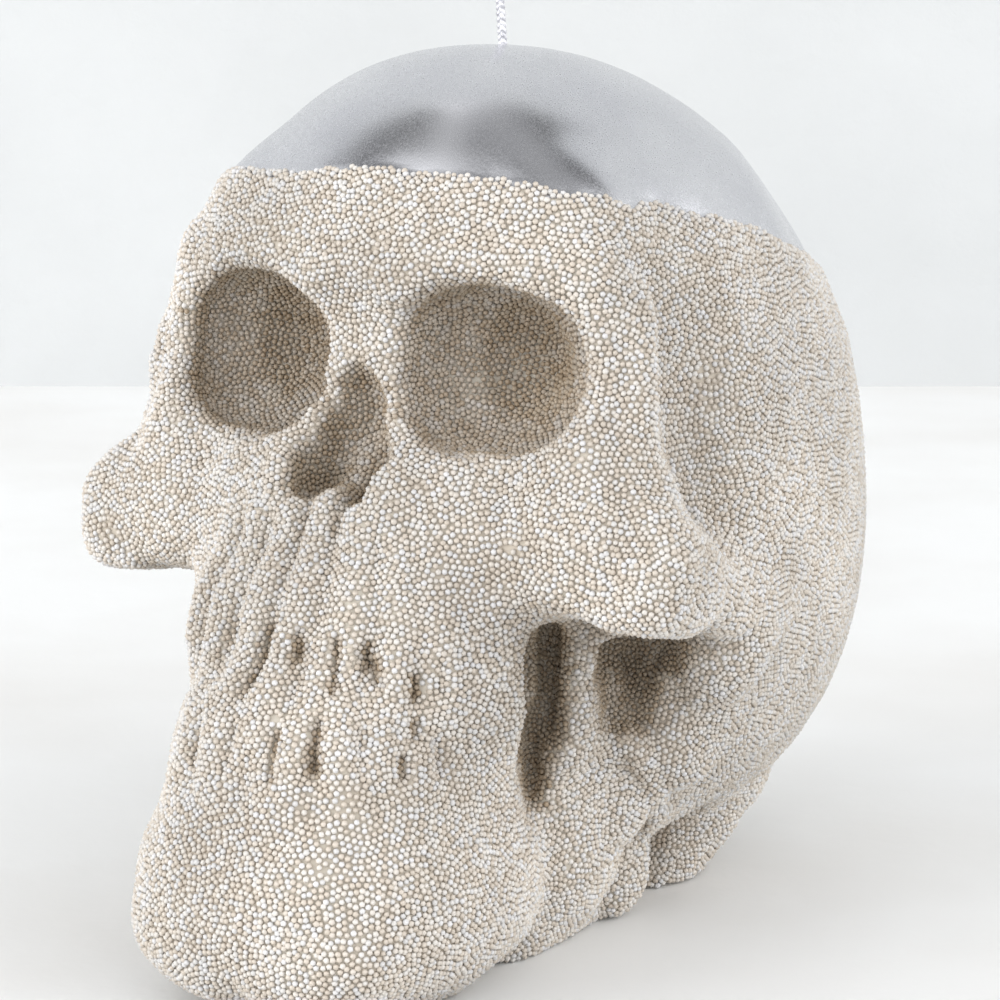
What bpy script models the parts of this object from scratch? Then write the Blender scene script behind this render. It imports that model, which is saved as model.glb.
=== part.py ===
"""Skull candle: a cast wax skull with a flat base, coated with small beads up to a silver-lacquered crown.

Metres, +Z up. The skull looks along -Y and stands on Z = 0, and its wick is on the Z axis.
The wax is built up from rounded lumps, carved with hollows, and then worked with strokes that
raise ridges and press grooves, each one on both sides of the face.
"""

import math

import bmesh
import bpy
import numpy as np
from mathutils import Matrix

MM = 0.001

# Heights above the table
CROWN_LEVEL = 165 * MM
BROW_LEVEL = 129 * MM
EYE_LEVEL = 112.5 * MM
NOSE_LEVEL = 97 * MM
CHEEK_LEVEL = 80 * MM
OCCIPUT_LEVEL = 73 * MM
BITE_LEVEL = 51 * MM
JAW_NOTCH_LEVEL = 52 * MM
CHIN_LEVEL = 19 * MM

# Half widths
CRANIUM_HALF_WIDTH = 59 * MM
BROW_HALF_WIDTH = 41 * MM
CHEEK_HALF_WIDTH = 63 * MM
TOOTH_ARCH_HALF_WIDTH = 33 * MM
JAW_HALF_WIDTH = 33 * MM
NECK_HALF_WIDTH = 31 * MM

# Reaches from the wick axis to the front, and for the last two to the back
FOREHEAD_REACH = 51 * MM
BROW_REACH = 51 * MM
NOSE_REACH = 60 * MM
CHEEK_REACH = 55 * MM
TEETH_REACH = 73 * MM
CHIN_REACH = 93 * MM
SLOT_REACH = 39 * MM
JAW_NOTCH_REACH = 18 * MM
BACK_REACH = 83 * MM
NECK_REACH = 49 * MM

# Hollows
EYE_SPACING = 52 * MM
EYE_WIDTH = 38 * MM
EYE_HEIGHT = 34 * MM
EYE_DEPTH = 18 * MM
NOSE_WIDTH = 19 * MM
NOSE_HEIGHT = 29 * MM
NOSE_DEPTH = 14 * MM
CHEEK_SLOT_WIDTH = 17 * MM
CHEEK_SLOT_HEIGHT = 42 * MM
JAW_NOTCH_WIDTH = 30 * MM
JAW_NOTCH_HEIGHT = 23 * MM

# Teeth
TOOTH_PITCH = 9 * MM
TEETH_A_SIDE = 4
ROOT_HEIGHT = 1.1 * MM
TOOTH_GAP_DEPTH = 2.7 * MM

# Beads and wick
BEAD = 1.3 * MM
COAT_GAP = 0.3 * MM
COAT_EDGE_LEVEL = 134.5 * MM  # on the wick axis
COAT_EDGE_SLOPE = math.radians(13.8)  # the edge drops towards the back of the head
COAT_FOOT = 4 * MM  # the shell of beads ends this far above the table
WICK_DIAMETER = 1.8 * MM
WICK_STAND = 15 * MM
WICK_FOOT = 8 * MM
WICK_LEAN = 1.2 * MM
WICK_GAP = 0.3 * MM

# Fineness
CLAY_VOXEL = 1.5 * MM
WAX_TRIANGLES = 4800
SNAP = 1.1 * MM  # a corner this near to a cut moves onto it

# Places that the lumps and strokes are measured from, on the skull's left
BROW = (BROW_HALF_WIDTH, -BROW_REACH, BROW_LEVEL)
EYE = (EYE_SPACING / 2, -BROW_REACH, EYE_LEVEL)
NOSE = (0, -NOSE_REACH, NOSE_LEVEL)
CHEEK = (CHEEK_HALF_WIDTH, -CHEEK_REACH, CHEEK_LEVEL)
CHIN = (JAW_HALF_WIDTH, -CHIN_REACH, CHIN_LEVEL)
SLOT = (TOOTH_ARCH_HALF_WIDTH, -SLOT_REACH, BITE_LEVEL - 2 * MM)
NOTCH = (JAW_HALF_WIDTH, -JAW_NOTCH_REACH, JAW_NOTCH_LEVEL)
NECK = (NECK_HALF_WIDTH, NECK_REACH, 0)


def clear_scene():
    for thing in list(bpy.data.objects):
        bpy.data.objects.remove(thing, do_unlink=True)


def add_object(name, mesh):
    thing = bpy.data.objects.new(name, mesh)
    bpy.context.scene.collection.objects.link(thing)
    return thing


def object_of(name, fill):
    """An object whose mesh the function fill has made."""
    mesh = bmesh.new()
    fill(mesh)
    thing = add_object(name, bpy.data.meshes.new(name))
    mesh.to_mesh(thing.data)
    mesh.free()
    return thing


def bake_modifiers(thing):
    """Replaces the object's mesh by what its modifiers make of it."""
    graph = bpy.context.evaluated_depsgraph_get()
    mesh = bpy.data.meshes.new_from_object(thing.evaluated_get(graph))
    old = thing.data
    thing.modifiers.clear()
    thing.data = mesh
    bpy.data.meshes.remove(old)


def finish(name, colour, roughness, metallic=0.0):
    material = bpy.data.materials.new(name)
    material.use_nodes = True
    shader = material.node_tree.nodes["Principled BSDF"]
    shader.inputs["Base Color"].default_value = (*colour, 1.0)
    shader.inputs["Roughness"].default_value = roughness
    shader.inputs["Metallic"].default_value = metallic
    return material


def mm(*values):
    return tuple(value * MM for value in values)


def by(place, across, along, up):
    """The place, moved by so many millimetres outwards, backwards and upwards."""
    x, y, z = place
    return (x + across * MM, y + along * MM, z + up * MM)


def lump(mesh, centre, radii, pitch=0.0, yaw=0.0, roundness=2.0, lean=0.0, back=None):
    """Adds a ball to the mesh, stretched to its radii, leant forwards and then turned.

    A roundness of 2 is an ellipsoid, and a higher one is squarer. The rear half may have
    a radius of its own, back.
    """
    ball = bmesh.ops.create_icosphere(mesh, subdivisions=4, radius=1.0)["verts"]
    across, front, up = radii
    leaning = Matrix.Identity(4)
    leaning[1][2] = -lean
    place = (
        Matrix.Translation(centre)
        @ Matrix.Rotation(math.radians(yaw), 4, "Z")
        @ Matrix.Rotation(math.radians(pitch), 4, "X")
        @ leaning
    )
    for vert in ball:
        size = sum(abs(part) ** roundness for part in vert.co) ** (1 / roundness)
        x, y, z = vert.co / size
        depth = back if back and y > 0 else front
        vert.co = (x * across, y * depth, z * up)
        vert.co = place @ vert.co


def pair(mesh, centre, radii, pitch=0.0, yaw=0.0, roundness=2.0):
    """Adds a lump on the skull's left, at +X, and its mirror image on the right."""
    x, y, z = centre
    lump(mesh, (x, y, z), radii, pitch, yaw, roundness)
    lump(mesh, (-x, y, z), radii, pitch, -yaw, roundness)


def cranium(mesh):
    middle = 8 * MM
    half_height = 79 * MM
    occiput = 54 * MM
    forehead = 27 * MM
    lump(
        mesh,
        (0, middle, CROWN_LEVEL - half_height),
        (CRANIUM_HALF_WIDTH, FOREHEAD_REACH + middle, half_height),
        roundness=2.3,
        lean=0.2,
        back=BACK_REACH - middle,
    )
    lump(
        mesh,
        (0, BACK_REACH - occiput, OCCIPUT_LEVEL),
        (CRANIUM_HALF_WIDTH - 4 * MM, occiput, 51 * MM),
        roundness=2.2,
    )
    pair(mesh, (20 * MM, forehead - BROW_REACH, BROW_LEVEL - 7 * MM), (26 * MM, forehead, 20 * MM))


def brow_and_nose(mesh):
    pair(mesh, by(BROW, -21, 15, -1), mm(20, 15, 9), yaw=8)
    pair(mesh, by(BROW, 0, 18, -19), mm(7.5, 10, 22), pitch=8)
    lump(mesh, by(NOSE, 0, 19, -2), (NOSE_WIDTH / 2 + 5 * MM, 19 * MM, NOSE_HEIGHT / 2 + 9 * MM))


def cheeks(mesh):
    pair(mesh, by(CHEEK, -21, 18, 14), mm(11, 13, 14), pitch=8, roundness=2.4)
    pair(mesh, by(CHEEK, -23, 13, 2), mm(16, 13, 12), roundness=2.3)
    pair(mesh, by(CHEEK, -16, 17, 7), mm(10, 13, 13), pitch=-4)
    pair(mesh, by(CHEEK, -12, 15, -1), mm(9, 13, 11), pitch=-8, roundness=2.2)
    pair(mesh, by(CHEEK, -8, 16, -4), mm(8, 13, 8), pitch=-12, roundness=2.8)
    pair(mesh, by(CHEEK, -11, 31, -5), mm(8, 24, 7), pitch=-20)
    pair(mesh, by(CHEEK, -11, 49, -13), mm(8, 22, 7), pitch=-24)


def upper_jaw(mesh):
    arch = TOOTH_ARCH_HALF_WIDTH
    palate = (arch + 4 * MM, 22 * MM, 22 * MM)
    teeth = (arch + 2 * MM, arch, 26 * MM)
    lump(mesh, by(NOSE, 0, 18, -18), palate, pitch=-10, roundness=2.3)
    lump(mesh, (0, arch - TEETH_REACH, BITE_LEVEL + 7 * MM), teeth, pitch=-12, roundness=2.4)


def lower_jaw(mesh):
    wide = JAW_HALF_WIDTH
    front = (wide - 4 * MM, 36 * MM, 28 * MM)
    chin = (wide, 36 * MM, 22 * MM)
    core = (wide - 12 * MM, 52 * MM, 32 * MM)
    lump(mesh, (0, 41 * MM - CHIN_REACH, BITE_LEVEL - 17 * MM), front, pitch=-14, roundness=2.5)
    lump(mesh, (0, 36 * MM - CHIN_REACH, CHIN_LEVEL), chin, pitch=-4, roundness=2.4)
    lump(mesh, (0, 72 * MM - CHIN_REACH, CHIN_LEVEL - 2 * MM), core, roundness=2.6)
    pair(mesh, by(CHIN, -22, 67, -5), mm(14.5, 42, 28), roundness=2.6)
    pair(mesh, by(NOTCH, -9, 0, -14), mm(9, 16, 34), roundness=2.6)


def neck(mesh):
    depth = 25 * MM
    lump(mesh, (0, NECK_REACH - depth, 26 * MM), (NECK_HALF_WIDTH, depth, 42 * MM), roundness=2.6)


def skull(mesh):
    for build in (cranium, brow_and_nose, cheeks, upper_jaw, lower_jaw, neck):
        build(mesh)


def hollows(mesh):
    """Eye sockets, nose, and under each cheek a slot and the notch of the jaw."""
    eye = (EYE_WIDTH / 2, EYE_DEPTH, EYE_HEIGHT / 2)
    eye_floor = (EYE_WIDTH / 3, EYE_DEPTH - 2 * MM, EYE_HEIGHT / 2.5)
    pair(mesh, by(EYE, 0, 2, 0), eye, pitch=-8, yaw=6, roundness=2.4)
    pair(mesh, by(EYE, -1, 9, 0), eye_floor, yaw=-6)
    bridge = (EYE_SPACING / 2 + 4 * MM, 42 * MM, 24 * MM)
    lump(mesh, (0, -BROW_REACH - 39 * MM, EYE_LEVEL + 5 * MM), bridge)
    nostril = (NOSE_WIDTH * 0.31, NOSE_DEPTH, NOSE_HEIGHT * 0.36)
    nose_top = (NOSE_WIDTH * 0.26, NOSE_DEPTH, NOSE_HEIGHT * 0.43)
    nostril_place = (NOSE_WIDTH * 0.28, -NOSE_REACH - 2 * MM, NOSE_LEVEL - 3 * MM)
    pair(mesh, nostril_place, nostril, pitch=-10, roundness=2.5)
    lump(mesh, by(NOSE, 0, 3, 4), nose_top, pitch=-14)
    slot = (24 * MM, CHEEK_SLOT_WIDTH / 2, CHEEK_SLOT_HEIGHT / 2)
    notch = (25 * MM, JAW_NOTCH_WIDTH / 2, JAW_NOTCH_HEIGHT / 2)
    pair(mesh, by(SLOT, 12, 0, 0), slot, pitch=16, roundness=2.8)
    pair(mesh, by(NOTCH, 17, 0, 0), notch, pitch=-14, roundness=2.2)


def outer_skin(thing):
    """Keeps the largest piece of the mesh, so that no pocket is left inside the body."""
    mesh = bmesh.new()
    mesh.from_mesh(thing.data)
    left = set(mesh.verts)
    pieces = []
    while left:
        front = [left.pop()]
        piece = []
        while front:
            vert = front.pop()
            piece.append(vert)
            near = [edge.other_vert(vert) for edge in vert.link_edges]
            fresh = [other for other in near if other in left]
            left.difference_update(fresh)
            front.extend(fresh)
        pieces.append(piece)
    pieces.sort(key=len)
    inner = [vert for piece in pieces[:-1] for vert in piece]
    bmesh.ops.delete(mesh, geom=inner, context="VERTS")
    mesh.to_mesh(thing.data)
    mesh.free()


def soften(thing, rounds):
    smooth = thing.modifiers.new("soften", "SMOOTH")
    smooth.factor = 0.5
    smooth.iterations = rounds
    bake_modifiers(thing)


def melt(thing, rounds):
    """Makes one skin round everything in the mesh and smooths it."""
    remesh = thing.modifiers.new("one skin", "REMESH")
    remesh.mode = "VOXEL"
    remesh.voxel_size = CLAY_VOXEL
    soften(thing, rounds)


def cut(thing, cutter):
    boolean = thing.modifiers.new("cut", "BOOLEAN")
    boolean.operation = "DIFFERENCE"
    boolean.object = cutter
    bake_modifiers(thing)
    bpy.data.objects.remove(cutter, do_unlink=True)


def face_strokes():
    """Lines worked into the clay: (points, reach to either side, height above the clay)."""
    temple = [by(BROW, -1, 14, -1), by(BROW, 5, 16, -9), by(BROW, 8, 14, -22)]
    cheek_edge = [by(CHEEK, -9, 9, 16), by(CHEEK, -4, 13, 4), by(CHEEK, -8, 42, -14)]
    behind_temple = [by(BROW, 13, 28, -12), by(BROW, 15, 24, -30), by(CHEEK, -5, 36, 6)]
    over_eye = [by(EYE, -15, -2, 17), by(EYE, -4, -2, 19), by(EYE, 8, 2, 18), by(EYE, 15, 6, 13)]
    under_eye = [by(EYE, 19, 7, 4), by(EYE, 17, 8, -9), by(EYE, 7, 5, -18), by(EYE, -4, 0, -19)]
    nose_rim = [by(NOSE, 6, 7, 15), by(NOSE, 11, 3, 6), by(NOSE, 12, 1, -5), by(NOSE, 9, -1, -13)]
    beside_nose = [by(NOSE, 20, 3, -14), by(CHEEK, -38, 2, -3)]
    cheek_foot = [by(CHEEK, -31, -1, -8), by(CHEEK, -17, 1, -8), by(CHEEK, -4, 9, -8), by(CHEEK, -5, 35, -16)]
    jaw_front = [by(NOTCH, 7, -13, 10), by(NOTCH, 6, -14, -4), by(NOTCH, 4, -20, -16)]
    jaw_rear = [by(NOTCH, 9, 20, 0), by(NOTCH, 4, 15, -14), by(NOTCH, 0, 16, -28), by(NOTCH, -5, 22, -44)]
    before_neck = [by(NECK, 7, -34, 44), by(NECK, 2, -34, 26), by(NECK, -5, -30, 4)]
    return [
        (temple + cheek_edge, 6 * MM, 2.6 * MM),
        (behind_temple, 13 * MM, -3.0 * MM),
        (over_eye, 8 * MM, 0.8 * MM),
        (under_eye, 5 * MM, 1.0 * MM),
        (nose_rim, 5 * MM, 1.4 * MM),
        (beside_nose, 10 * MM, -2.0 * MM),
        (cheek_foot, 5 * MM, 1.5 * MM),
        (jaw_front, 4 * MM, 1.6 * MM),
        (jaw_rear, 6 * MM, 2.0 * MM),
        (before_neck, 8 * MM, -4.0 * MM),
    ]


def tooth_strokes():
    """The same for the teeth, in distances round the tooth arch and heights."""
    root_top, root_foot = 35 * MM, 9 * MM
    upper_top, upper_foot = 14 * MM, 5 * MM
    lower_top, lower_foot = -3 * MM, -12 * MM
    fading = 0.2
    strokes = []
    for number in range(TEETH_A_SIDE):
        ridge = number * TOOTH_PITCH
        gap = ridge + TOOTH_PITCH / 2
        share = 1 - fading * number
        root = [(ridge, 0, BITE_LEVEL + height) for height in (root_top, root_foot)]
        upper = [(gap, 0, BITE_LEVEL + height) for height in (upper_top, upper_foot)]
        lower = [(ridge, 0, BITE_LEVEL + height) for height in (lower_top, lower_foot)]
        strokes.append((root, 4.0 * MM, ROOT_HEIGHT * share))
        strokes.append((upper, 2.8 * MM, -TOOTH_GAP_DEPTH * share))
        strokes.append((lower, 2.8 * MM, -TOOTH_GAP_DEPTH * share))
    return strokes


def round_the_arch(spots):
    """For each point: its distance round the tooth arch from the midline, nothing, and its height."""
    middle = TOOTH_ARCH_HALF_WIDTH - TEETH_REACH
    turn = np.arctan2(spots[:, 0], middle - spots[:, 1])
    off_the_arch = np.where(np.abs(turn) > math.radians(100), 1.0, 0.0)
    return np.stack([turn * TOOTH_ARCH_HALF_WIDTH, off_the_arch, spots[:, 2]], axis=1)


def work(clay, strokes, unwrap=None):
    """Moves the clay along its normals, within reach of each line, on both sides of the face."""
    count = len(clay.data.vertices)
    spots = np.empty(count * 3, np.float32)
    normals = np.empty(count * 3, np.float32)
    clay.data.vertices.foreach_get("co", spots)
    clay.data.vertices.foreach_get("normal", normals)
    spots, normals = spots.reshape(-1, 3), normals.reshape(-1, 3)
    folded = spots.astype(float)
    folded[:, 0] = np.abs(folded[:, 0])
    if unwrap:
        folded = unwrap(folded)
    move = np.zeros(count)
    for points, reach, height in strokes:
        nearest = np.full(count, np.inf)
        for start, end in zip(points, points[1:]):
            start, along = np.array(start), np.subtract(end, start)
            share = np.clip((folded - start) @ along / (along @ along), 0, 1)
            away = np.linalg.norm(folded - start - share[:, None] * along, axis=1)
            nearest = np.minimum(nearest, away)
        move += height * np.clip(1 - (nearest / reach) ** 2, 0, 1) ** 2
    spots = spots + normals * move[:, None]
    clay.data.vertices.foreach_set("co", spots.astype(np.float32).ravel())
    clay.data.update()


def sculpt_clay():
    """The skull with a round underside, in fine clay."""
    clay = object_of("clay", skull)
    melt(clay, rounds=10)
    outer_skin(clay)
    cutter = object_of("hollows", hollows)
    melt(cutter, rounds=2)
    cut(clay, cutter)
    melt(clay, rounds=5)
    outer_skin(clay)
    work(clay, face_strokes())
    soften(clay, rounds=2)
    work(clay, tooth_strokes(), round_the_arch)
    soften(clay, rounds=1)
    return clay


def slice_mesh(mesh, point, normal, clear=True, snap=SNAP):
    """Cuts the mesh by a plane and clears the side that the normal points away from.

    Without clear it only draws the line of the cut. Corners nearer than snap move onto the
    plane. It returns the edges along the cut.
    """
    made = bmesh.ops.bisect_plane(
        mesh,
        geom=mesh.verts[:] + mesh.edges[:] + mesh.faces[:],
        dist=snap,
        use_snap_center=True,
        plane_co=point,
        plane_no=normal,
        clear_inner=clear,
    )["geom_cut"]
    return [part for part in made if isinstance(part, bmesh.types.BMEdge)]


def coat_edge():
    """A point on the plane of the coat's edge, and the plane's upward normal."""
    return (0, 0, COAT_EDGE_LEVEL), (0, math.sin(COAT_EDGE_SLOPE), math.cos(COAT_EDGE_SLOPE))


def pour_wax(clay):
    """The wax body: the clay with fewer faces, a flat base and the lines of the coat's edges."""
    decimate = clay.modifiers.new("fewer faces", "DECIMATE")
    faces = sum(len(face.vertices) - 2 for face in clay.data.polygons)
    decimate.ratio = WAX_TRIANGLES / faces
    bake_modifiers(clay)
    mesh = bmesh.new()
    mesh.from_mesh(clay.data)
    base = slice_mesh(mesh, (0, 0, 0), (0, 0, 1), snap=SNAP / 10)
    bmesh.ops.holes_fill(mesh, edges=base, sides=0)
    slice_mesh(mesh, (0, 0, COAT_FOOT), (0, 0, 1), clear=False)
    slice_mesh(mesh, *coat_edge(), clear=False)
    bmesh.ops.triangulate(mesh, faces=mesh.faces[:])
    mesh.to_mesh(clay.data)
    mesh.free()
    clay.name = clay.data.name = "wax_skull"
    return clay


def bead_coat(wax):
    """The layer of beads: a shell one bead thick round the wax, open at the crown and at the base."""
    mesh = bmesh.new()
    mesh.from_mesh(wax.data)
    slice_mesh(mesh, (0, 0, COAT_FOOT), (0, 0, 1))
    point, normal = coat_edge()
    slice_mesh(mesh, point, [-part for part in normal])
    coat = add_object("bead_coat", bpy.data.meshes.new("bead_coat"))
    mesh.to_mesh(coat.data)
    mesh.free()
    lift = coat.modifiers.new("gap to the wax", "DISPLACE")
    lift.strength = COAT_GAP
    lift.mid_level = 0
    shell = coat.modifiers.new("one bead", "SOLIDIFY")
    shell.thickness = BEAD
    shell.offset = 1
    bake_modifiers(coat)
    return coat


def bore_for_wick(wax):
    top = CROWN_LEVEL + WICK_GAP
    foot = WICK_FOOT - WICK_GAP

    def drill(mesh):
        bmesh.ops.create_cone(
            mesh,
            cap_ends=True,
            segments=16,
            radius1=WICK_DIAMETER / 2 + WICK_GAP,
            radius2=WICK_DIAMETER / 2 + WICK_GAP,
            depth=top - foot,
            matrix=Matrix.Translation((0, 0, (top + foot) / 2)),
        )

    cut(wax, object_of("drill", drill))


def wick():
    """Straight inside the wax, then leaning a little to the skull's right."""
    route = bpy.data.curves.new("wick", "CURVE")
    route.dimensions = "3D"
    route.bevel_depth = WICK_DIAMETER / 2
    route.bevel_resolution = 2
    route.use_fill_caps = True
    steps = 6
    bend = CROWN_LEVEL + 2 * MM
    rise = (CROWN_LEVEL + WICK_STAND - bend) / steps
    heights = [WICK_FOOT] + [bend + step * rise for step in range(steps + 1)]
    spline = route.splines.new("POLY")
    spline.points.add(len(heights) - 1)
    for number, (point, height) in enumerate(zip(spline.points, heights)):
        share = max(number - 1, 0) / steps
        point.co = (-WICK_LEAN * share**2, 0, height, 1)
    return add_object("wick", route)


clear_scene()
wax_skull = pour_wax(sculpt_clay())
coat = bead_coat(wax_skull)
bore_for_wick(wax_skull)
cord = wick()
wax_skull.data.materials.append(finish("silver lacquer", (0.55, 0.55, 0.58), 0.25, 1.0))
coat.data.materials.append(finish("glass beads", (0.47, 0.42, 0.36), 0.5))
cord.data.materials.append(finish("lacquered cotton", (0.6, 0.6, 0.62), 0.45, 0.6))
for thing in (wax_skull, coat):
    thing.data.shade_smooth()
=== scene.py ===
"""A skull candle on a pale table: wax with a silver-lacquered crown, and a coat of small beads below it.

Metres, +Z up. The skull looks along -Y, and the wick stands on the Z axis.
"""

import itertools
import math

import bmesh
import bpy
import numpy as np
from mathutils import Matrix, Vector
from mathutils.bvhtree import BVHTree
from mathutils.kdtree import KDTree


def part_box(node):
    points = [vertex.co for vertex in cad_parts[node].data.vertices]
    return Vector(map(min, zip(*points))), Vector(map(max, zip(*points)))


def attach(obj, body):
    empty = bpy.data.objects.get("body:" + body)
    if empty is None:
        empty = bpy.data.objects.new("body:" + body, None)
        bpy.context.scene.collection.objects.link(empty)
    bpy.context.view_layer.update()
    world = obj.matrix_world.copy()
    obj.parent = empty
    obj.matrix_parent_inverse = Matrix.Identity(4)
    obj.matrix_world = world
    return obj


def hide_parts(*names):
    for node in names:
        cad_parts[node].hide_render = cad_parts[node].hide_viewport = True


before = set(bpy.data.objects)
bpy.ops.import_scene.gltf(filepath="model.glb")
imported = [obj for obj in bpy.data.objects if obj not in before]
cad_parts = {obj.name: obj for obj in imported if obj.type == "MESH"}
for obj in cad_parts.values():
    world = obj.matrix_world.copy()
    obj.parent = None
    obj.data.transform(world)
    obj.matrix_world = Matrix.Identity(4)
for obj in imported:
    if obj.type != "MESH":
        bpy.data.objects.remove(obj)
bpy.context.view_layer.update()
WICK_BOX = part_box("wick")

MM = 0.001

# The coat of beads
SEED = 7
BEAD = 1.15 * MM
BEAD_RISE = 0.88 * MM  # from the wax to a bead's middle
BEAD_RISE_SPREAD = 0.05  # in millimetres
BEAD_SIZES = (1.04, 0.05)  # mean and spread, as shares of BEAD
BEAD_SIZE_LIMITS = (0.88, 1.16)
GLUE_RISE = 0.6 * MM  # the glue that the beads are pressed into
GLUE_FADE = 1.5 * MM  # it thins out over this width, at the coat's edge and at the base
GLUE_MARGIN = 1.2 * MM  # its colour starts this far below the coat's edge
COAT_EDGE_LEVEL = 134.5 * MM  # on the wick axis
COAT_EDGE_SLOPE = math.radians(13.8)  # the edge drops towards the back of the head
BEAD_PIECES = 6

# How the beads find their places, and how shut in each one is, which sets the shade painted into it
PACKING_ROUNDS = 22
ROUNDS_AFTER_FILL = 6  # bald spots are filled when this many rounds are left
PACKING_REACH = BEAD * 1.1
PUSH_SHARE = 0.45
BALD_REACH = 0.85 * BEAD
RECESS_REACH = 34 * MM
RECESS_WAYS = 14
GOLDEN_ANGLE = math.radians(137.5)

# The wax
SKIN_VOXEL = 1.25 * MM
HOLLOW_VOXEL = 0.9 * MM
POLISH_ROUNDS = 60
TOOTH_ARCH_HALF_WIDTH = 33 * MM
TEETH_REACH = 73 * MM

# The wick
WICK_DIAMETER = 1.8 * MM
WICK_FOOT_LEVEL = 163 * MM
WICK_LEAN = 1.2 * MM
STRAND_WIDTH = 0.85 * MM
PLAIT_PITCH = 3.4 * MM

# Where the photograph was taken from, the wall behind the candle and the light
CAMERA_PLACE = (0.319, -0.531, 0.196)
CAMERA_TURN = math.radians(31)
CAMERA_TILT = math.radians(10.7)
CAMERA_LENS = 117.8
CAMERA_SENSOR = 36
CAMERA_SHIFT = -0.003
STAGE_SIZE = 6
WALL_DISTANCE = 0.66
AIM_LEVEL = 0.09  # the height on the wick axis that the lamps point at
ROOM_STRENGTH = 1.7


def deselect():
    bpy.ops.object.select_all(action="DESELECT")


def pick(thing):
    """Makes the object the only selected and active one."""
    deselect()
    thing.select_set(True)
    bpy.context.view_layer.objects.active = thing


def apply_modifiers(thing):
    pick(thing)
    for modifier in list(thing.modifiers):
        bpy.ops.object.modifier_apply(modifier=modifier.name)


def settle(thing):
    """Puts the object's place, turn and scale into its mesh."""
    pick(thing)
    bpy.ops.object.transform_apply(location=True, rotation=True, scale=True)


def spots_of(mesh):
    spots = np.empty(len(mesh.vertices) * 3, np.float32)
    mesh.vertices.foreach_get("co", spots)
    return spots.reshape(-1, 3).astype(float)


def normals_of(mesh):
    normals = np.empty(len(mesh.vertices) * 3, np.float32)
    mesh.vertices.foreach_get("normal", normals)
    return normals.reshape(-1, 3).astype(float)


def move_spots(mesh, spots):
    mesh.vertices.foreach_set("co", spots.astype(np.float32).ravel())
    mesh.update()


def smooth_step(values, low, high):
    share = np.clip((values - low) / (high - low), 0, 1)
    return share * share * (3 - 2 * share)


def above_edge(spots):
    """How far each point lies above the coat's uneven upper edge."""
    slope = COAT_EDGE_SLOPE
    plane = (spots[:, 2] - COAT_EDGE_LEVEL) * math.cos(slope) + spots[:, 1] * math.sin(slope)
    round_head = np.arctan2(spots[:, 0], -spots[:, 1])
    wave = 0.5 * np.sin(5 * round_head + 0.6) + 0.35 * np.sin(11 * round_head + 2.1)
    wave += 0.25 * np.sin(23 * round_head)
    dip = np.exp(-(((round_head - math.radians(56)) / math.radians(3)) ** 2))
    return plane - (wave - 1.2 * dip) * MM


# The wax skull


def cast_skull():
    """The skull as it is cast: a copy of the plain solid without its bore."""
    wax = bpy.data.objects.new("cast_skull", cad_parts["wax_skull"].data.copy())
    bpy.context.scene.collection.objects.link(wax)
    pick(wax)
    wax.data.materials.clear()
    bpy.ops.object.mode_set(mode="EDIT")
    bpy.ops.mesh.select_all(action="SELECT")
    bpy.ops.mesh.remove_doubles(threshold=0.01 * MM)
    bpy.ops.mesh.select_all(action="DESELECT")
    mesh = bmesh.from_edit_mesh(wax.data)
    bore = WICK_DIAMETER / 2 + 0.5 * MM
    for vert in mesh.verts:
        vert.select = math.hypot(vert.co.x, vert.co.y) < bore and vert.co.z > 1 * MM
    mesh.select_flush_mode()
    bmesh.update_edit_mesh(wax.data)
    bpy.ops.mesh.delete(type="VERT")
    bpy.ops.mesh.select_all(action="DESELECT")
    bpy.ops.mesh.select_non_manifold()
    bpy.ops.mesh.fill()
    bpy.ops.object.mode_set(mode="OBJECT")
    return wax


def melt(thing, voxel, rounds):
    """Makes one skin round everything in the mesh, in fine faces, and smooths it."""
    fine = thing.modifiers.new("fine", "REMESH")
    fine.mode = "VOXEL"
    fine.voxel_size = voxel
    smooth = thing.modifiers.new("smooth", "SMOOTH")
    smooth.factor = 0.5
    smooth.iterations = rounds
    apply_modifiers(thing)


def ball(place, radii, pitch, yaw, roundness):
    """A ball stretched to its radii in millimetres. A roundness over 2 makes it squarer."""
    deselect()
    bpy.ops.mesh.primitive_ico_sphere_add(subdivisions=5, radius=1)
    thing = bpy.context.object
    spots = spots_of(thing.data)
    size = (np.abs(spots) ** roundness).sum(axis=1) ** (1 / roundness)
    move_spots(thing.data, spots / size[:, None] * np.array(radii) * MM)
    thing.rotation_euler = (math.radians(pitch), 0, math.radians(yaw))
    thing.location = Vector(place) * MM
    settle(thing)
    return thing


def balls_on_both_sides(shapes):
    """One object of balls, each with its mirror image, unless it stands on the midline."""
    things = []
    for (x, y, z), radii, pitch, yaw, roundness in shapes:
        things.append(ball((x, y, z), radii, pitch, yaw, roundness))
        if x:
            things.append(ball((-x, y, z), radii, pitch, -yaw, roundness))
    deselect()
    for thing in things:
        thing.select_set(True)
    bpy.context.view_layer.objects.active = things[0]
    bpy.ops.object.join()
    return things[0]


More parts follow.
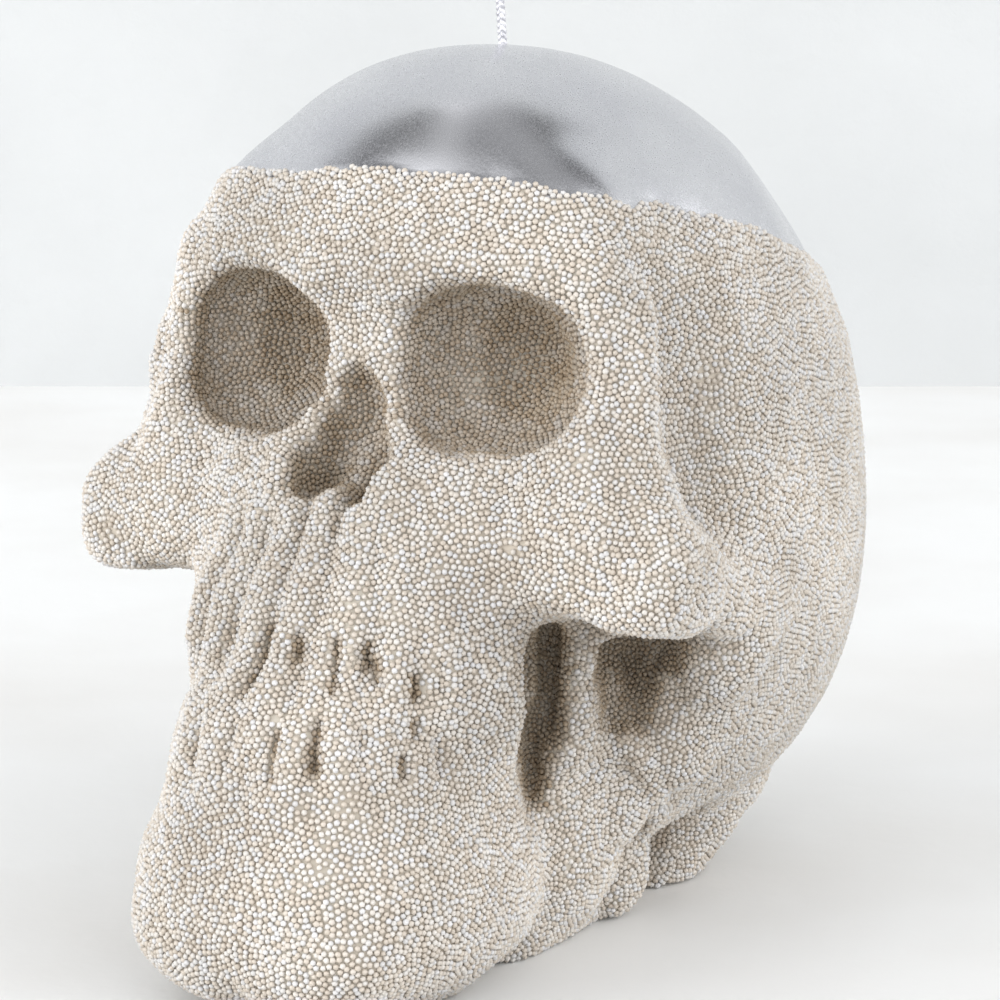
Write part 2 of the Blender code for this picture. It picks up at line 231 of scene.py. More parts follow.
def carve(wax):
    """Fills out the jaw, then cuts the sockets, the nose, two slots under each cheek and the groove."""
    fillers = balls_on_both_sides(
        [
            # The jaw's rear branch, up to the temple
            ((39.5, 0, 46), (8.5, 11, 18), -35, 0, 2.4),
            ((40, 12, 49), (11, 18, 15), -35, 6, 2.4),
            ((44, 0, 52), (8.5, 9, 12), -35, 0, 2.4),
            ((46, -2, 62), (12.5, 10, 17), -20, 0, 2.0),
            # Behind the slots, down to the base
            ((28, -24, 50), (8, 13, 16), 0, 0, 2.2),
            ((24, -24, 36), (7.5, 12, 20), 0, 0, 2.0),
            ((31.5, -9, 36), (7, 9, 18), -20, 0, 2.0),
            ((25.5, -2, 14), (5.5, 6, 13), 0, 0, 2.2),
            # The foot of the nose opening
            ((0, -55, 84), (9, 6, 5.5), 0, 0, 2.4),
        ]
    )
    pick(wax)
    fillers.select_set(True)
    bpy.ops.object.join()
    melt(wax, SKIN_VOXEL, 3)
    hollows = balls_on_both_sides(
        [
            # The eye socket
            ((26, -49, 112.5), (19, 18, 17), -8, 6, 2.5),
            ((25, -42, 112.5), (12.7, 16, 13.6), 0, -6, 2.0),
            # The nose
            ((6.2, -62, 92), (4.2, 15, 6), -10, 0, 2.2),
            ((3.6, -60, 98), (5.9, 15, 9.5), -12, 0, 2.2),
            ((0, -57, 103.5), (7.8, 15, 12), -14, 0, 2.0),
            # The front slot under the cheek
            ((37, -45.4, 54), (21, 4, 14), 0, -59, 3.4),
            ((34.2, -47, 40), (21, 3.6, 12), 0, -59, 3.0),
            # The rear slot under the cheek
            ((47.3, -31, 57), (24, 9.6, 7), 0, -59, 4.0),
            ((46.5, -32, 53), (23, 7.5, 8), 0, -59, 2.4),
            ((45, -33.6, 49), (22, 5.7, 9.5), 0, -59, 2.6),
            # The groove between the jaw and the neck
            ((33, 12, 6), (12, 8.5, 14), 0, 0, 2.6),
        ]
    )
    melt(hollows, HOLLOW_VOXEL, 1)
    cut = wax.modifiers.new("cut", "BOOLEAN")
    cut.operation = "DIFFERENCE"
    cut.object = hollows
    apply_modifiers(wax)
    bpy.data.objects.remove(hollows, do_unlink=True)
    melt(wax, SKIN_VOXEL, 1)


def polish_crown(wax):
    """Smooths the bare crown further, until it reflects evenly."""
    crown = wax.vertex_groups.new(name="crown")
    height = above_edge(spots_of(wax.data))
    for vert in np.nonzero(height > 1 * MM)[0]:
        crown.add([int(vert)], float(min(1, height[vert] / (6 * MM))), "REPLACE")
    polish = wax.modifiers.new("polish", "SMOOTH")
    polish.vertex_group = "crown"
    polish.factor = 0.5
    polish.iterations = POLISH_ROUNDS
    apply_modifiers(wax)
    wax.vertex_groups.clear()


def round_the_arch(spots):
    """For each point: its distance round the tooth arch from the midline, nothing, and its height."""
    middle = TOOTH_ARCH_HALF_WIDTH - TEETH_REACH
    turn = np.arctan2(spots[:, 0], middle - spots[:, 1])
    off_the_arch = np.where(np.abs(turn) > math.radians(100), 1.0, 0.0)
    return np.stack([turn * TOOTH_ARCH_HALF_WIDTH, off_the_arch, spots[:, 2]], axis=1)


def press_lines(wax, strokes, unwrap):
    """Moves the surface along its normals, within reach of each line."""
    spots, normals = spots_of(wax.data), normals_of(wax.data)
    flat = unwrap(spots)
    move = np.zeros(len(spots))
    for points, reach, height in strokes:
        nearest = np.full(len(spots), np.inf)
        for start, end in zip(points, points[1:]):
            start, along = np.array(start), np.subtract(end, start)
            share = np.clip((flat - start) @ along / (along @ along), 0, 1)
            away = np.linalg.norm(flat - start - share[:, None] * along, axis=1)
            nearest = np.minimum(nearest, away)
        move += height * np.clip(1 - (nearest / reach) ** 2, 0, 1) ** 2
    move_spots(wax.data, spots + normals * move[:, None])


def tooth_lines():
    """Lines round the tooth arch, in millimetres: across, upper and lower end, reach, height."""
    roots = [(-26, 84, 62), (-17, 85, 62), (-8, 86, 63), (1, 86, 66), (12, 85, 63), (21, 80, 60)]
    valleys = [(-21.5, 82, 64), (-12.5, 84, 66), (-3.5, 84, 67), (6.5, 84, 67), (16.5, 82, 66)]
    crowns = [(-7, 66, 57), (-0.7, 66, 57), (6, 66, 57), (12.3, 66, 57), (19.5, 65, 57)]
    crowns += [(-6, 51, 46), (0.2, 51, 46), (6.2, 51, 46), (11.9, 51, 46), (17.5, 51, 46)]
    deep = [(2, 66, 63), (10, 66.5, 58.5), (14.5, 65.5, 62.5), (16.7, 63, 60), (22.4, 60.5, 57.5)]
    deep += [(3.5, 52, 45), (8.9, 54, 46), (20.3, 47.5, 44.5), (22.5, 53, 51)]
    faint = [(-11, 66, 58), (-3.8, 66, 58), (27, 63, 58), (-10, 52, 45), (-3.2, 52, 45)]
    faint += [(14.8, 53, 46), (26, 50, 44)]
    groups = (
        (roots, 3.8, 0.8),
        (valleys, 3.2, -0.8),
        (crowns, 2.8, 0.8),
        (deep, 1.8, -2.6),
        (faint, 1.8, -1.2),
    )
    strokes = []
    for lines, reach, height in groups:
        for across, top, foot in lines:
            line = [(across * MM, 0, top * MM), (across * MM, 0, foot * MM)]
            strokes.append((line, reach * MM, height * MM))
    return strokes


def fold(spots):
    """The right half of the face laid over the left half."""
    return spots * np.where(spots[:, :1] < 0, [[-1, 1, 1]], [[1, 1, 1]])


def face_lines():
    """Lines, dents and swellings on the skull's left, in millimetres: their points, reach and height."""
    socket = [(10, -47, 126), (20, -46, 130), (31, -44, 129), (39, -42, 124), (44, -41, 117)]
    socket += [(45, -42, 108), (42, -45, 100), (34, -47, 95.5), (22, -48, 94.5)]
    nose = [(2, -51, 114), (7, -56, 106), (9.5, -58.5, 98), (10, -60, 91), (7, -61, 86)]
    spine = [(0, -57, 94), (0, -60, 88)]
    ridge = [(36, -33, 61), (34, -31, 50), (31, -29, 40)]
    temple = [(48, -33, 126), (51, -36, 116), (51, -41, 103), (52, -45, 95), (58, -48, 87)]
    temple += [(64, -44, 78), (60, -25, 68)]
    ramus = [(44, -7, 56), (39, -19, 41), (38, -8, 28), (33, 0, 14), (31, 1, 3)]
    lines = (
        (socket, 3.6, 1.1),
        (nose, 3.6, 1.8),
        (spine, 2.6, 1.2),
        (ridge, 3.0, 1.2),
        (ramus, 3.4, 1.5),
        (temple, 3.6, 1.0),
        # The pit between nose and socket
        ([(13, -46, 99.5), (13, -46, 98)], 2.2, -1.8),
        # The neck
        ([(29, 34, 13), (31, 36, 18)], 11, 3.8),
        # The crown, the sides of the forehead and the back corner
        ([(0, 0, 165), (0, -8, 164)], 42, 1.6),
        ([(39, -36, 136), (38, -35, 141)], 17, 2.8),
        ([(47, 38, 124), (44, 36, 134)], 20, -1.6),
        # Behind, beside, on and under the cheek bone
        ([(53, -45, 101), (54, -46, 96)], 9, -3.2),
        ([(50, -39, 112), (50, -39, 108)], 6, 1.4),
        ([(61, -46, 84), (60, -50, 75)], 9, 1.7),
        ([(50, -52, 69), (42, -54, 68)], 6, 1.2),
        # The chin and the jaw's lower edge
        ([(20, -86, 12), (10, -88, 6)], 12, 2.4),
        ([(24, -48, 2), (24, -40, 2)], 9, -3.0),
    )
    strokes = []
    for points, reach, height in lines:
        strokes.append(([tuple(part * MM for part in point) for point in points], reach * MM, height * MM))
    return strokes


def spread_glue(wax):
    """Raises the skin by the glue's thickness, up to the coat's edge."""
    spots, normals = spots_of(wax.data), normals_of(wax.data)
    rise = GLUE_RISE * smooth_step(-above_edge(spots), 0, GLUE_FADE)
    rise *= smooth_step(spots[:, 2], 0.2 * MM, GLUE_FADE)
    spots += normals * rise[:, None]
    spots[:, 2] = np.maximum(spots[:, 2], 0)
    move_spots(wax.data, spots)


def paint_skull(wax, lacquer, glue):
    """Lacquer on the bare crown and glue below the coat's edge."""
    wax.data.materials.append(lacquer)
    wax.data.materials.append(glue)
    centres = np.empty(len(wax.data.polygons) * 3, np.float32)
    wax.data.polygons.foreach_get("center", centres)
    coated = above_edge(centres.reshape(-1, 3).astype(float)) < -GLUE_MARGIN
    wax.data.polygons.foreach_set("material_index", coated.astype(np.int32))
    pick(wax)
    bpy.ops.object.shade_smooth()


# The beads


def surface_tree(mesh):
    faces = [tuple(face.vertices) for face in mesh.polygons]
    return BVHTree.FromPolygons([vert.co for vert in mesh.vertices], faces)


def near_pairs(spots, reach):
    """Every pair of points that lie within reach of each other, found through a grid of cells."""
    cells = np.floor(spots / reach).astype(np.int64)
    cells -= cells.min(axis=0) - 1
    size = cells.max(axis=0) + 2
    key = (cells[:, 0] * size[1] + cells[:, 1]) * size[2] + cells[:, 2]
    order = np.argsort(key, kind="stable")
    keys = key[order]
    found = []
    for step in itertools.product((-1, 0, 1), repeat=3):
        shift = (step[0] * size[1] + step[1]) * size[2] + step[2]
        if shift < 0:
            continue
        first = np.searchsorted(keys, keys + shift, "left")
        count = np.searchsorted(keys, keys + shift, "right") - first
        one = np.repeat(np.arange(len(keys)), count)
        ahead = np.arange(count.sum()) - np.repeat(np.cumsum(count) - count, count)
        other = np.repeat(first, count) + ahead
        if shift == 0:
            one, other = one[one < other], other[one < other]
        found.append((order[one], order[other]))
    one = np.concatenate([pair[0] for pair in found])
    other = np.concatenate([pair[1] for pair in found])
    apart = np.linalg.norm(spots[one] - spots[other], axis=1)
    close = apart < reach
    return one[close], other[close], apart[close]


def scatter(mesh, draw):
    """Points at random all over the skin, evenly by area, as many as beads fit side by side."""
    mesh.calc_loop_triangles()
    corners = np.empty(len(mesh.loop_triangles) * 3, np.int32)
    mesh.loop_triangles.foreach_get("vertices", corners)
    triangles = spots_of(mesh)[corners.reshape(-1, 3)]
    sides = np.cross(triangles[:, 1] - triangles[:, 0], triangles[:, 2] - triangles[:, 0])
    area = np.linalg.norm(sides, axis=1) / 2
    count = int(area.sum() / (BEAD * BEAD * math.sqrt(3) / 2))
    chosen = triangles[draw.choice(len(triangles), count, p=area / area.sum())]
    across = np.sqrt(draw.random((count, 1)))
    along = draw.random((count, 1))
    nearer, farther = across * (1 - along), across * along
    return chosen[:, 0] * (1 - across) + chosen[:, 1] * nearer + chosen[:, 2] * farther


def snap_to(tree, spots):
    """Each point moved to the nearest place on the surface, and the surface's normal there."""
    places, normals = np.empty_like(spots), np.empty_like(spots)
    for number, spot in enumerate(spots):
        places[number], normals[number] = tree.find_nearest(Vector(spot))[:2]
    return places, normals


def fill_bald_spots(spots, mesh, draw):
    """Adds a point wherever the nearest one is about a bead away."""
    tree = KDTree(len(spots))
    for number, spot in enumerate(spots):
        tree.insert(spot, number)
    tree.balance()
    extra = np.array([spot for spot in scatter(mesh, draw) if tree.find(spot)[2] > BALD_REACH])
    if not len(extra):
        return spots
    one, other, _ = near_pairs(extra, BEAD)
    alone = np.ones(len(extra), bool)
    alone[np.maximum(one, other)] = False
    return np.concatenate([spots, extra[alone]])


def pack_beads(mesh, tree, draw):
    """Where the beads sit: points that push each other away until they lie evenly."""
    spots = scatter(mesh, draw)
    for number in range(PACKING_ROUNDS):
        if number == PACKING_ROUNDS - ROUNDS_AFTER_FILL:
            spots = fill_bald_spots(spots, mesh, draw)
        one, other, apart = near_pairs(spots, PACKING_REACH)
        push = (spots[one] - spots[other]) / np.maximum(apart, 1e-9)[:, None]
        push *= (PUSH_SHARE * (PACKING_REACH - apart))[:, None]
        moved = spots.copy()
        for axis in range(3):
            moved[:, axis] += np.bincount(one, push[:, axis], len(spots))
            moved[:, axis] -= np.bincount(other, push[:, axis], len(spots))
        spots, normals = snap_to(tree, moved)
    return spots, normals


def shade_occlusion_of(tree, spots, normals):
    """How much of the space in front of each bead is shut in, from 0 in the open to 1: the amount of shade
    painted into its colour.
    """
    ways = []
    for number in range(RECESS_WAYS):
        height = 1 - (number + 0.5) / (RECESS_WAYS + 1)
        turn = number * GOLDEN_ANGLE
        flat = math.sqrt(1 - height * height)
        ways.append((flat * math.cos(turn), flat * math.sin(turn), height))
    shut = np.zeros(len(spots))
    for number in range(len(spots)):
        normal = Vector(normals[number])
        turned = Vector((0, 0, 1)).rotation_difference(normal).to_matrix()
        start = Vector(spots[number]) + normal * BEAD
        for way in ways:
            hit = tree.ray_cast(start, turned @ Vector(way), RECESS_REACH)
            if hit[0] is not None:
                shut[number] += way[2] * (1 - 0.5 * hit[3] / RECESS_REACH)
    return np.clip(shut / sum(way[2] for way in ways), 0, 1)


def one_bead():
    """The corners and faces of a bead of radius 1."""
    deselect()
    bpy.ops.mesh.primitive_ico_sphere_add(subdivisions=1, radius=1)
    bead = bpy.context.object
    corners = spots_of(bead.data)
    faces = np.array([tuple(face.vertices) for face in bead.data.polygons])
    bpy.data.objects.remove(bead, do_unlink=True)
    return corners, faces


def string_beads(name, spots, normals, sizes, turns, tints, painted_shades):
    """One piece of the coat: a closed bead at each spot, with its own size, turn, tint and painted shade.
    """
    corners, faces = one_bead()
    up = normals / np.linalg.norm(normals, axis=1)[:, None]
    side = np.cross(up, np.where(np.abs(up[:, :1]) < 0.9, [[1.0, 0, 0]], [[0, 1.0, 0]]))
    side /= np.linalg.norm(side, axis=1)[:, None]
    other = np.cross(up, side)
    first = side * np.cos(turns)[:, None] + other * np.sin(turns)[:, None]
    second = np.cross(up, first)
    axes = np.stack([first, second, up], axis=1) * sizes[:, None, None]
    placed = np.einsum("cj,bjk->bck", corners, axes) + spots[:, None, :]
    joined = faces[None] + (np.arange(len(spots)) * len(corners))[:, None, None]
    mesh = bpy.data.meshes.new(name)
    mesh.vertices.add(len(spots) * len(corners))
    mesh.vertices.foreach_set("co", placed.astype(np.float32).ravel())
    mesh.loops.add(joined.size)
    mesh.loops.foreach_set("vertex_index", joined.astype(np.int32).ravel())
    mesh.polygons.add(joined.size // 3)
    mesh.polygons.foreach_set("loop_start", np.arange(0, joined.size, 3, dtype=np.int32))
    mesh.update(calc_edges=True)
    # Each bead's painted shade is stored beside its tint
    for label, values in (("tint", tints), ("painted_shade", painted_shades)):
        layer = mesh.attributes.new(label, "FLOAT", "POINT")
        layer.data.foreach_set("value", np.repeat(values, len(corners)).astype(np.float32))
    piece = bpy.data.objects.new(name, mesh)
    bpy.context.scene.collection.objects.link(piece)
    pick(piece)
    bpy.ops.object.shade_smooth()
    return piece


def bead_coat(wax, material):
    """All the beads, in pieces that follow each other from the chin's foot to the back of the head."""
    draw = np.random.default_rng(SEED)
    tree = surface_tree(wax.data)
    spots, normals = pack_beads(wax.data, tree, draw)
    centres = spots + normals * (BEAD_RISE - GLUE_RISE)
    kept = (above_edge(spots) < 0) & (centres[:, 2] > BEAD / 2)
    centres, normals = centres[kept], normals[kept]
    # Painted shade: how shut in each bead is, which darkens and browns its colour
    painted_shades = shade_occlusion_of(tree, centres, normals)
    centres += normals * (draw.normal(0, BEAD_RISE_SPREAD, len(centres)) * MM)[:, None]
    sizes = BEAD / 2 * draw.normal(*BEAD_SIZES, len(centres)).clip(*BEAD_SIZE_LIMITS)
    turns = draw.random(len(centres)) * math.tau
    tints = draw.random(len(centres))
    order = np.argsort(centres[:, 2] + 0.4 * centres[:, 1], kind="stable")
    pieces = []
    for number, part in enumerate(np.array_split(order, BEAD_PIECES), start=1):
        name = f"beads_{number}"
        values = [values[part] for values in (centres, normals, sizes, turns, tints, painted_shades)]
        piece = string_beads(name, *values)
        piece.data.materials.append(material)
        pieces.append(piece)
    return pieces


# The wick


def wick_middle(height):
    """The wick's middle line, which leans over as it rises."""
    share = max(0, (height - WICK_FOOT_LEVEL) / (WICK_BOX[1][2] - WICK_FOOT_LEVEL))
    return Vector((-WICK_LEAN * share ** 1.3, 0, height))


def plaited_wick():
    """Three strands plaited round each other."""
    top = WICK_BOX[1][2] - 0.2 * MM
    foot = WICK_FOOT_LEVEL - 2 * MM
    swing = WICK_DIAMETER / 2 - STRAND_WIDTH / 2
    curve = bpy.data.curves.new("wick_strands", "CURVE")
    curve.dimensions = "3D"
    curve.bevel_depth = STRAND_WIDTH / 2
    curve.bevel_resolution = 2
    curve.use_fill_caps = True
    count = 70
    for strand in range(3):
        spline = curve.splines.new("POLY")
        spline.points.add(count - 1)
        for number in range(count):
            height = foot + (top - foot) * number / (count - 1)
            turn = math.tau * (height / PLAIT_PITCH + strand / 3)
            sway = Vector((math.sin(turn), 0.75 * math.sin(2 * turn), 0)) * swing
            spline.points[number].co = (*(wick_middle(height) + sway), 1)
    piece = bpy.data.objects.new("wick_plait", curve)
    bpy.context.scene.collection.objects.link(piece)
    pick(piece)
    bpy.ops.object.convert(target="MESH")
    piece = bpy.context.object
    bpy.ops.object.shade_smooth()
    return piece


def lacquer_collar():
    """The lacquer that has run down the wick and set round its foot."""
    deselect()
    bpy.ops.mesh.primitive_uv_sphere_add(segments=24, ring_count=16, radius=1)
    collar = bpy.context.object
    collar.name = "lacquer_collar"
    collar.scale = (1.35 * MM, 1.25 * MM, 1.0 * MM)
    collar.location = (0.25 * MM, -0.1 * MM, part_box("wax_skull")[1][2] + 0.05 * MM)
    settle(collar)
    bpy.ops.object.shade_smooth()
    return collar


# Materials


def grain_group():
    """Fine unevenness: a shade from 0 to 1 in large soft clouds, and a height in small grain."""
    group = bpy.data.node_groups.new("grain", "ShaderNodeTree")
    face = group.interface
    face.new_socket("Cloud Scale", in_out="INPUT", socket_type="NodeSocketFloat")
    face.new_socket("Grain Scale", in_out="INPUT", socket_type="NodeSocketFloat")
    face.new_socket("Cloud", in_out="OUTPUT", socket_type="NodeSocketFloat")
    face.new_socket("Grain", in_out="OUTPUT", socket_type="NodeSocketFloat")
    nodes, links = group.nodes, group.links
    entry, out = nodes.new("NodeGroupInput"), nodes.new("NodeGroupOutput")
    place = nodes.new("ShaderNodeTexCoord")
    for source, target, detail in (("Cloud Scale", "Cloud", 3), ("Grain Scale", "Grain", 5)):
        noise = nodes.new("ShaderNodeTexNoise")
        noise.inputs["Detail"].default_value = detail
        links.new(place.outputs["Object"], noise.inputs["Vector"])
        links.new(entry.outputs[source], noise.inputs["Scale"])
        links.new(noise.outputs["Fac"], out.inputs[target])
    return group


def new_material(name):
    material = bpy.data.materials.new(name)
    material.use_nodes = True
    tree = material.node_tree
    return material, tree.nodes, tree.links, tree.nodes["Principled BSDF"]


def add_grain(nodes, cloud_scale, grain_scale):
    grain = nodes.new("ShaderNodeGroup")
    grain.node_tree = bpy.data.node_groups["grain"]
    grain.inputs["Cloud Scale"].default_value = cloud_scale
    grain.inputs["Grain Scale"].default_value = grain_scale
    return grain


def add_ramp(nodes, stops):
    ramp = nodes.new("ShaderNodeValToRGB")
    while len(ramp.color_ramp.elements) < len(stops):
        ramp.color_ramp.elements.new(0.5)
    for element, (place, colour) in zip(ramp.color_ramp.elements, stops):
        element.position = place
        element.color = (*colour, 1)
    return ramp


def add_range(nodes, low, high, from_low=0.0, from_high=1.0):
    change = nodes.new("ShaderNodeMapRange")
    change.inputs["From Min"].default_value = from_low
    change.inputs["From Max"].default_value = from_high
    change.inputs["To Min"].default_value = low
    change.inputs["To Max"].default_value = high
    return change


def add_bump(nodes, links, height, shader, strength, distance):
    bump = nodes.new("ShaderNodeBump")
    bump.inputs["Strength"].default_value = strength
    bump.inputs["Distance"].default_value = distance
    links.new(height, bump.inputs["Height"])
    links.new(bump.outputs["Normal"], shader.inputs["Normal"])


def silver_lacquer():
    """Satin silver lacquer over wax, with soft clouds and a very fine flake."""
    material, nodes, links, shader = new_material("silver lacquer")
    shader.inputs["Metallic"].default_value = 1
    grain = add_grain(nodes, 45, 2600)
    ramp = add_ramp(nodes, [(0.3, (0.59, 0.59, 0.62)), (0.7, (0.66, 0.66, 0.68))])
    links.new(grain.outputs["Cloud"], ramp.inputs["Fac"])
    links.new(ramp.outputs["Color"], shader.inputs["Base Color"])
    rough = add_range(nodes, 0.2, 0.3, 0.3, 0.7)
    links.new(grain.outputs["Grain"], rough.inputs["Value"])
    links.new(rough.outputs["Result"], shader.inputs["Roughness"])
    add_bump(nodes, links, grain.outputs["Grain"], shader, 0.12, 0.1 * MM)
    return material


def wick_lacquer():
    """Silver lacquer on cotton, lighter and darker in small clouds."""
    material, nodes, links, shader = new_material("lacquered cotton")
    shader.inputs["Metallic"].default_value = 0.6
    grain = add_grain(nodes, 900, 5000)
    ramp = add_ramp(nodes, [(0.3, (0.50, 0.50, 0.53)), (0.7, (0.86, 0.86, 0.88))])
    links.new(grain.outputs["Cloud"], ramp.inputs["Fac"])
    links.new(ramp.outputs["Color"], shader.inputs["Base Color"])
    rough = add_range(nodes, 0.3, 0.55, 0.3, 0.7)
    links.new(grain.outputs["Cloud"], rough.inputs["Value"])
    links.new(rough.outputs["Result"], shader.inputs["Roughness"])
    add_bump(nodes, links, grain.outputs["Grain"], shader, 0.5, 0.1 * MM)
    return material


def bead_glue():
    """The glue between the beads: tan and matt, with some grain."""
    material, nodes, links, shader = new_material("bead glue")
    grain = add_grain(nodes, 60, 1500)
    ramp = add_ramp(nodes, [(0.3, (0.45, 0.39, 0.32)), (0.7, (0.53, 0.49, 0.42))])
    links.new(grain.outputs["Cloud"], ramp.inputs["Fac"])
    links.new(ramp.outputs["Color"], shader.inputs["Base Color"])
    rough = add_range(nodes, 0.5, 0.8, 0.3, 0.7)
    links.new(grain.outputs["Grain"], rough.inputs["Value"])
    links.new(rough.outputs["Result"], shader.inputs["Roughness"])
    add_bump(nodes, links, grain.outputs["Grain"], shader, 0.5, 0.2 * MM)
    return material


def bead_glass():
    """Opaque glass beads from ivory through tan to silvery grey, with shade painted in: darker and browner
    where they are shut in.
    """
    material, nodes, links, shader = new_material("bead glass")
    tint = nodes.new("ShaderNodeAttribute")
    tint.attribute_name = "tint"
    painted_shade = nodes.new("ShaderNodeAttribute")
    painted_shade.attribute_name = "painted_shade"
    colours = [
        (0.00, (0.51, 0.45, 0.38)),
        (0.25, (0.57, 0.51, 0.44)),
        (0.50, (0.61, 0.57, 0.52)),
        (0.70, (0.65, 0.62, 0.58)),
        (0.85, (0.57, 0.56, 0.55)),
        (1.00, (0.66, 0.65, 0.65)),
    ]
    ramp = add_ramp(nodes, colours)
    links.new(tint.outputs["Fac"], ramp.inputs["Fac"])
    grain = add_grain(nodes, 30, 1800)
    cloud = add_range(nodes, 0.88, 1.08, 0.35, 0.65)
    links.new(grain.outputs["Cloud"], cloud.inputs["Value"])
    shaded = nodes.new("ShaderNodeVectorMath")
    shaded.operation = "SCALE"
    links.new(ramp.outputs["Color"], shaded.inputs[0])
    links.new(cloud.outputs["Result"], shaded.inputs["Scale"])
    # Painted shade: the colour is multiplied towards dark brown where the bead is shut in
    shade_mix = nodes.new("ShaderNodeMix")
    shade_mix.data_type = "RGBA"
    shade_mix.blend_type = "MULTIPLY"
    shade_amount = add_range(nodes, 0, 1, 0.05, 0.42)
    links.new(painted_shade.outputs["Fac"], shade_amount.inputs["Value"])
    links.new(shade_amount.outputs["Result"], shade_mix.inputs["Factor"])
    links.new(shaded.outputs["Vector"], shade_mix.inputs["A"])
    shade_mix.inputs["B"].default_value = (0.58, 0.50, 0.40, 1)
    links.new(shade_mix.outputs["Result"], shader.inputs["Base Color"])
    rough = add_range(nodes, 0.3, 0.6)
    links.new(tint.outputs["Fac"], rough.inputs["Value"])
    links.new(rough.outputs["Result"], shader.inputs["Roughness"])
    add_bump(nodes, links, grain.outputs["Grain"], shader, 0.25, 0.1 * MM)
    return material


def whitewashed_table():
    material, nodes, links, shader = new_material("whitewashed table")
    grain = add_grain(nodes, 9, 160)
    ramp = add_ramp(nodes, [(0.3, (0.76, 0.75, 0.73)), (0.6, (0.82, 0.82, 0.81))])
    links.new(grain.outputs["Cloud"], ramp.inputs["Fac"])
    links.new(ramp.outputs["Color"], shader.inputs["Base Color"])
    shader.inputs["Roughness"].default_value = 0.6
    add_bump(nodes, links, grain.outputs["Grain"], shader, 0.15, 1 * MM)
    return material


def plaster_wall():
    material, nodes, links, shader = new_material("plaster wall")
    grain = add_grain(nodes, 6, 60)
    ramp = add_ramp(nodes, [(0.3, (0.52, 0.53, 0.53)), (0.7, (0.58, 0.59, 0.59))])
    links.new(grain.outputs["Cloud"], ramp.inputs["Fac"])
    links.new(ramp.outputs["Color"], shader.inputs["Base Color"])
    shader.inputs["Roughness"].default_value = 0.9
    add_bump(nodes, links, grain.outputs["Grain"], shader, 0.3, 3 * MM)
    return material


# The studio


def aim(thing, target):
    way = Vector(target) - thing.location
    thing.rotation_euler = way.to_track_quat("-Z", "Y").to_euler()


def around(azimuth, elevation, distance):
    """A place round the candle: the azimuth counts from the camera's side, to its right."""
    turn = CAMERA_TURN + math.radians(azimuth)
    rise = math.radians(elevation)
    flat = distance * math.cos(rise)
    return Vector((flat * math.sin(turn), -flat * math.cos(turn), AIM_LEVEL + distance * math.sin(rise)))


def add_lamp(name, azimuth, elevation, distance, size, power):
    data = bpy.data.lights.new(name, "AREA")
    data.shape = "DISK"
    data.size = size
    data.energy = power
    lamp = bpy.data.objects.new(name, data)
    lamp.location = around(azimuth, elevation, distance)
    bpy.context.scene.collection.objects.link(lamp)
    aim(lamp, (0, 0, AIM_LEVEL))


def add_plane(name, location, rotation, material):
    deselect()
    bpy.ops.mesh.primitive_plane_add(size=STAGE_SIZE, location=location, rotation=rotation)
    plane = bpy.context.object
    plane.name = name
    plane.data.materials.append(material)


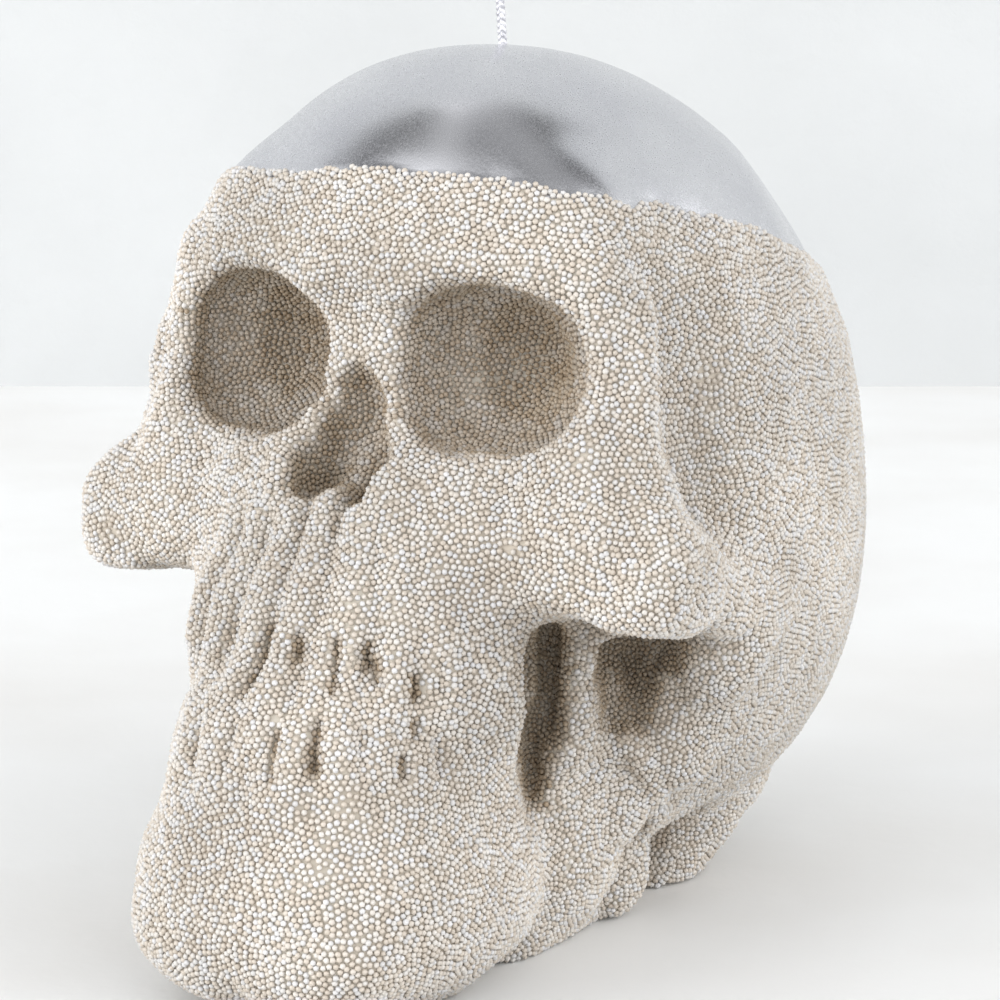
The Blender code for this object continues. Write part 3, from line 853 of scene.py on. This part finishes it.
def room_light():
    """A pale room with five soft dark patches overhead and around, for the crown to mirror."""
    world = bpy.data.worlds.new("room")
    bpy.context.scene.world = world
    world.use_nodes = True
    nodes, links = world.node_tree.nodes, world.node_tree.links
    ground = nodes["Background"]
    place = nodes.new("ShaderNodeTexCoord")
    level = None
    # Azimuth, elevation, outer and inner angle, and the share of light that is left
    patches = [(127, 54, 32, 14, 0.05), (30, 82, 30, 8, 0.25), (-105, 52, 26, 12, 0.1)]
    patches += [(-42, 65, 20, 8, 0.55), (-168, 50, 12, 4, 0.2)]
    for azimuth, elevation, outer, inner, shade in patches:
        way = (around(azimuth, elevation, 1) - Vector((0, 0, AIM_LEVEL))).normalized()
        dot = nodes.new("ShaderNodeVectorMath")
        dot.operation = "DOT_PRODUCT"
        dot.inputs[1].default_value = way
        links.new(place.outputs["Generated"], dot.inputs[0])
        fade = add_range(nodes, 1, shade, math.cos(math.radians(outer)), math.cos(math.radians(inner)))
        fade.interpolation_type = "SMOOTHSTEP"
        links.new(dot.outputs["Value"], fade.inputs["Value"])
        if level is None:
            level = fade.outputs["Result"]
            continue
        both = nodes.new("ShaderNodeMath")
        both.operation = "MULTIPLY"
        links.new(level, both.inputs[0])
        links.new(fade.outputs["Result"], both.inputs[1])
        level = both.outputs["Value"]
    strength = add_range(nodes, 0, ROOM_STRENGTH)
    links.new(level, strength.inputs["Value"])
    ground.inputs["Color"].default_value = (0.97, 0.98, 1.0, 1)
    links.new(strength.outputs["Result"], ground.inputs["Strength"])


def add_camera():
    data = bpy.data.cameras.new("camera")
    data.lens = CAMERA_LENS
    data.sensor_width = CAMERA_SENSOR
    data.shift_x = CAMERA_SHIFT
    data.clip_start, data.clip_end = 0.01, 50
    camera = bpy.data.objects.new("camera", data)
    camera.location = CAMERA_PLACE
    camera.rotation_euler = (math.pi / 2 - CAMERA_TILT, 0, CAMERA_TURN)
    bpy.context.scene.collection.objects.link(camera)
    bpy.context.scene.camera = camera


def dress_candle():
    grain_group()
    wax = cast_skull()
    carve(wax)
    press_lines(wax, face_lines(), fold)
    press_lines(wax, tooth_lines(), round_the_arch)
    polish_crown(wax)
    spread_glue(wax)
    paint_skull(wax, silver_lacquer(), bead_glue())
    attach(wax, "root")
    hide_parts("wax_skull")
    for piece in bead_coat(wax, bead_glass()):
        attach(piece, "root")
        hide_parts("bead_coat")
    finish = wick_lacquer()
    for piece in (plaited_wick(), lacquer_collar()):
        piece.data.materials.append(finish)
        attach(piece, "root")
        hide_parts("wick")


def set_stage():
    add_plane("table", (0, 0, 0), (0, 0, CAMERA_TURN), whitewashed_table())
    wall_place = around(180, 0, WALL_DISTANCE)
    wall_turn = (math.pi / 2, 0, CAMERA_TURN)
    add_plane("wall", (wall_place.x, wall_place.y, 0), wall_turn, plaster_wall())
    room_light()
    add_lamp("window", -64, 12, 1.5, 1.0, 11)
    add_lamp("side window", 62, 20, 1.5, 1.0, 4)
    add_lamp("window behind", 122, 16, 1.6, 0.8, 7)


bpy.context.scene.view_settings.view_transform = "Standard"
add_camera()
dress_candle()
set_stage()
